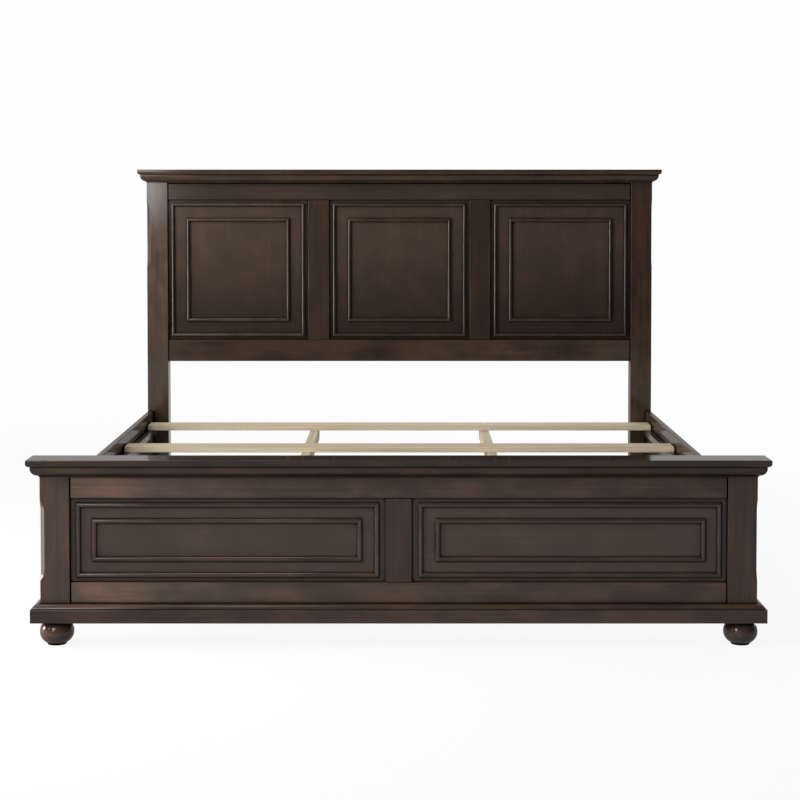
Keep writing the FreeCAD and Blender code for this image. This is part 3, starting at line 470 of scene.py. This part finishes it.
# %% Board by board
UPTAKE = {
    "headboard_left_mullion": 0.72, "headboard_right_mullion": 0.66, "headboard_cap_board": 0.66,
    "headboard_top_rail": 0.95, "headboard_bottom_rail": 0.95, "headboard_right_post": 0.72,
    "footboard_left_panel": 1.22, "footboard_right_panel": 1.42, "footboard_mullion": 0.88,
    "footboard_top_rail": 1.22, "footboard_bottom_rail": 1.38, "footboard_right_post": 1.20,
    "footboard_left_post": 1.40, "footboard_cap_board": 0.42, "footboard_bead": 0.92, "bead": 0.78,
    "left_bun_foot": 1.05, "right_bun_foot": 1.25,
}
TONE = {
    "headboard_top_rail": -0.10, "headboard_bottom_rail": 0.08, "headboard_right_post": 0.12,
    "headboard_mullion": 0.04, "footboard_panel": -0.04, "footboard_bead": 0.06, "board": 0.12,
    "foot": 0.10,
}
FIGURE = {
    "headboard_top_rail": 0.5, "headboard_post": 0.8, "panel": 0.40, "rail": 1.1, "post": 0.5,
    "mullion": 0.5, "left_rail": 0.7, "right_rail": 0.7,
}
GRAIN = {"panel": 0.16, "rail": 0.38, "post": 0.45, "mullion": 0.45}
GLOSS = {
    "headboard_left_post": 0.65, "bead": 0.42, "footboard_bead": 0.60, "board": 0.52, "panel": 0.40,
    "foot": 0.45,
}
TABLES = dict(zip(OWN, (UPTAKE, TONE, FIGURE, GRAIN, GLOSS)))
USUAL = dict(zip(OWN, (1.0, 0.0, 1.0, 0.40, 0.32)))
print({label: len(table) for label, table in TABLES.items()}, "boards or kinds of board that differ")

# %% [markdown]
# ### Dressing
# A node's name tells its material and its entries in the tables.

# %% Dress the nodes
STEEL_NODES = ("bolts", "screws", "inserts", "plates", "glide")
PINE_NODES = ("slat_", "leg", "support_beam")


def grain_axis(name):
    """Axis of a board's longest side."""
    low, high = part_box(name)
    return "xyz"[int(np.argmax(np.array(high) - np.array(low)))]


def pick(table, name, usual):
    """A node's entry in a table: under its name, or its first and last word, or its last word."""
    words = name.split("_")
    keys = (name, words[0] + "_" + words[-1], words[-1])
    return next((table[key] for key in keys if key in table), usual)


def finish_of(name):
    """The material of a node, from its name."""
    if any(word in name for word in STEEL_NODES):
        return zinc
    if any(word in name for word in PINE_NODES):
        return pine[grain_axis(name)]
    return pick(espresso, name, espresso[grain_axis(name)])


for name, node in nodes.items():
    node.data.materials.clear()
    node.data.materials.append(finish_of(name))
    for label in OWN:
        node[label] = pick(TABLES[label], name, USUAL[label])
print("dressed", len(nodes), "nodes")

# %% [markdown]
# ## Turned hardware
# A screw or a levelling glide is a turned form: a radius that changes along an axis. Threads, a hexagon
# and a cross recess are all ways to let that radius, or the height, change with the angle too, so one
# grid of heights and angles gives the whole piece. A thread is a ridge whose height depends on the
# distance along the axis less the pitch times the turn, so it climbs as it goes round. The grids' ends
# are closed by merging their points on the axis.

# %% Turned forms
TURN = np.linspace(0, 2 * np.pi, 36, endpoint=False)
ROWS_PER_PITCH = 8
POLE_MERGE = 1e-7
SHARP_EDGE = math.radians(40)


def thread(height, pitch, crest):
    """Ridge from 0 to 1 of a thread: a triangle wave of height over pitch less the turn, cut off so that
    the crest takes that share of the pitch."""
    phase = (height / pitch - TURN / (2 * np.pi)) % 1
    wave = 1 - np.abs(2 * phase - 1)
    return np.clip((wave - 1 + 2 * crest) / crest, 0, 1)


def turned(radius, height):
    """Points round the z axis, in m from sizes in mm: radius times cosine and sine of the turn, at each
    height."""
    radius, height = np.broadcast_arrays(radius, height, TURN)[:2]
    return np.stack([radius * np.cos(TURN), radius * np.sin(TURN), height], axis=-1) * MM


def hardware(name, points, body, *replaced):
    """Zinc-plated piece from copies of a closed grid, with its poles merged, that rides on a body."""
    made = surface(name, points, closed=True)
    mesh = bmesh.new()
    mesh.from_mesh(made.data)
    bmesh.ops.remove_doubles(mesh, verts=mesh.verts, dist=POLE_MERGE)
    volume = mesh.calc_volume(signed=True)
    mesh.to_mesh(made.data)
    mesh.free()
    made.data.shade_smooth()
    made.data.set_sharp_from_angle(angle=SHARP_EDGE)
    made.data.materials.append(zinc)
    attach(made, body)
    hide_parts(*replaced)
    print(name, len(made.data.polygons), "faces,", round(volume / MM ** 3), "cubic mm")


print(TURN.size, "angles round each turned form")

# %% [markdown]
# ### Levelling glides
# Each support leg stands on a glide: a dished foot with a small hexagon for the spanner, and an M8 stud
# that screws into the leg. The profile starts under the foot, goes out round its rim, up the dish and the
# hexagon, and then up the threaded stud to its chamfered end.

# %% Levelling glides
STUD_RADIUS, STUD_CORE, STUD_PITCH, STUD_CREST = 4.0, 3.3, 1.25, 0.3
STUD_FROM, STUD_TO = 8.0, 52.2
HEXAGON, HEXAGON_BEVEL = 13.0, 6.7
HEXAGON_HEIGHTS = (6.7, 7.6, 7.9)
# Radius and height in mm along the outline of the foot and along the end of the stud
FOOT = np.array([(0.0, 0.7), (15.6, 0.7), (16.0, 0.1), (16.4, 0.0), (17.4, 0.0), (17.8, 0.2), (18.0, 0.8),
                 (18.0, 2.6), (17.8, 3.2), (17.2, 3.6), (14.0, 4.6), (10.5, 5.7), (7.6, 6.6)])
STUD_END = np.array([(3.2, 52.4), (2.8, 53.0), (0.0, 53.0)])

side_angle = (TURN + np.pi / 6) % (np.pi / 3) - np.pi / 6
hexagon = HEXAGON / 2 / np.cos(side_angle)
hexagon_rows = np.stack([hexagon, hexagon, np.minimum(hexagon, HEXAGON_BEVEL), 0 * TURN + STUD_RADIUS])
stud_heights = np.arange(STUD_FROM, STUD_TO, STUD_PITCH / ROWS_PER_PITCH)[:, np.newaxis]
stud = STUD_CORE + (STUD_RADIUS - STUD_CORE) * thread(stud_heights, STUD_PITCH, STUD_CREST)
radii = np.vstack([FOOT[:, :1] + 0 * TURN, hexagon_rows, stud, STUD_END[:, :1] + 0 * TURN])
heights = np.concatenate([FOOT[:, 1], HEXAGON_HEIGHTS, [STUD_FROM], stud_heights[:, 0],
                          STUD_END[:, 1]])
glide_form = turned(radii, heights[:, np.newaxis])
for name in (node for node in nodes if node.endswith("_glide")):
    low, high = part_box(name)
    centre = np.array([(low.x + high.x) / 2, (low.y + high.y) / 2, low.z])
    hardware(name + "_threaded", (glide_form + centre)[np.newaxis], name, name)

# %% [markdown]
# ### Cross-head screws
# Countersunk wood screws hold the ledgers to the rails and the slats to ledgers and beams. The profile
# climbs from the point through the thread and the plain shank to the cone of the head, and ends on the
# flat top at height 0, where the height dips along two crossed slots.

# %% Screw form
SCREW_LENGTH, SCREW_CORE, SCREW_CREST, SCREW_PITCH = 38.0, 1.45, 2.2, 2.2
CREST_SHARE = 0.2
POINT_TO, THREAD_TO, NECK_TO = -33.0, -13.0, -2.7
SCREW_NECK, HEAD_RADIUS, HEAD_TOP, FACE_RADIUS = 1.75, 4.5, 4.3, 4.0
HEAD_RIM, HEAD_BREAK = -0.4, -0.15
FACE_ROWS = 15
SLOT_HALF, SLOT_REACH, SLOT_DEPTH = 0.8, 2.7, 1.7
SLOT_FLANK, SLOT_RAMP = 0.35, 0.9

thread_heights = np.arange(-SCREW_LENGTH, THREAD_TO, SCREW_PITCH / ROWS_PER_PITCH)[:, np.newaxis]
taper = np.clip((thread_heights + SCREW_LENGTH) / (POINT_TO + SCREW_LENGTH), 0, 1)
blade = (SCREW_CREST - SCREW_CORE) * thread(thread_heights, SCREW_PITCH, CREST_SHARE)
neck = np.array([(SCREW_NECK, THREAD_TO), (SCREW_NECK, NECK_TO), (HEAD_RADIUS, HEAD_RIM),
                 (HEAD_RADIUS, HEAD_BREAK), (HEAD_TOP, 0.0)])
face_radii = np.linspace(FACE_RADIUS, 0.0, FACE_ROWS)[:, np.newaxis] + 0 * TURN
off_slot = face_radii * np.minimum(np.abs(np.cos(TURN)), np.abs(np.sin(TURN)))
across_slot = np.clip((SLOT_HALF - off_slot) / SLOT_FLANK, 0, 1)
along_slot = np.clip((SLOT_REACH - face_radii) / SLOT_RAMP, 0, 1)
dip = SLOT_DEPTH * across_slot * along_slot
radii = np.vstack([taper * (SCREW_CORE + blade), neck[:, :1] + 0 * TURN, face_radii])
heights = np.vstack([thread_heights + 0 * TURN, neck[:, 1:] + 0 * TURN, -dip])
screw_form = turned(radii, heights)
print("screw of", screw_form.shape[0], "rows")

# %% [markdown]
# ### Screws in their places
# Slats, beams and ledgers tell where each screw goes. Each slat has an upright screw over each ledger, on
# the slat's middle line, and one over each beam, a little off that line. Ledger screws lie down, at the
# thirds between the slats, with their heads towards the middle of the bed.

# %% Screws in their places
FROM_SLAT_END, OFF_MIDDLE = 9.5 * MM, 26.0 * MM
# Where the screw's own x, y and z axes point, for the left and the right ledger
LEDGER_TURNS = {-1: [(0, 1, 0), (0, 0, 1), (1, 0, 0)], 1: [(0, 0, 1), (0, 1, 0), (-1, 0, 0)]}

slats = [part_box(name) for name in sorted(nodes) if name.startswith("slat_") and name != "slat_screws"]
slat_middles = np.array([(low.y + high.y) / 2 for low, high in slats])
slat_end, slat_top = slats[0][1].x, slats[0][1].z
beam_middle = sum(corner.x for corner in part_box("right_support_beam")) / 2
slat_heads = np.array([(side * x, y + off, slat_top) for side in (-1, 1) for y in slat_middles
                       for x, off in ((slat_end - FROM_SLAT_END, 0.0), (beam_middle, OFF_MIDDLE))])
slat_screws = screw_form + slat_heads[:, np.newaxis, np.newaxis]
hardware("slat_cross_head_screws", slat_screws, "bed_frame", "slat_screws")

ledger_low, ledger_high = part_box("right_ledger")
thirds = np.concatenate([slat_middles[:-1] + np.diff(slat_middles) * part for part in (1 / 3, 2 / 3)])
ledger_middle = (ledger_low.z + ledger_high.z) / 2
rows = []
for side, axes in LEDGER_TURNS.items():
    heads = np.array([(side * ledger_low.x, y, ledger_middle) for y in thirds])
    rows.append(screw_form @ np.array(axes, float) + heads[:, np.newaxis, np.newaxis])
hardware("ledger_cross_head_screws", np.concatenate(rows), "bed_frame", "ledger_screws")
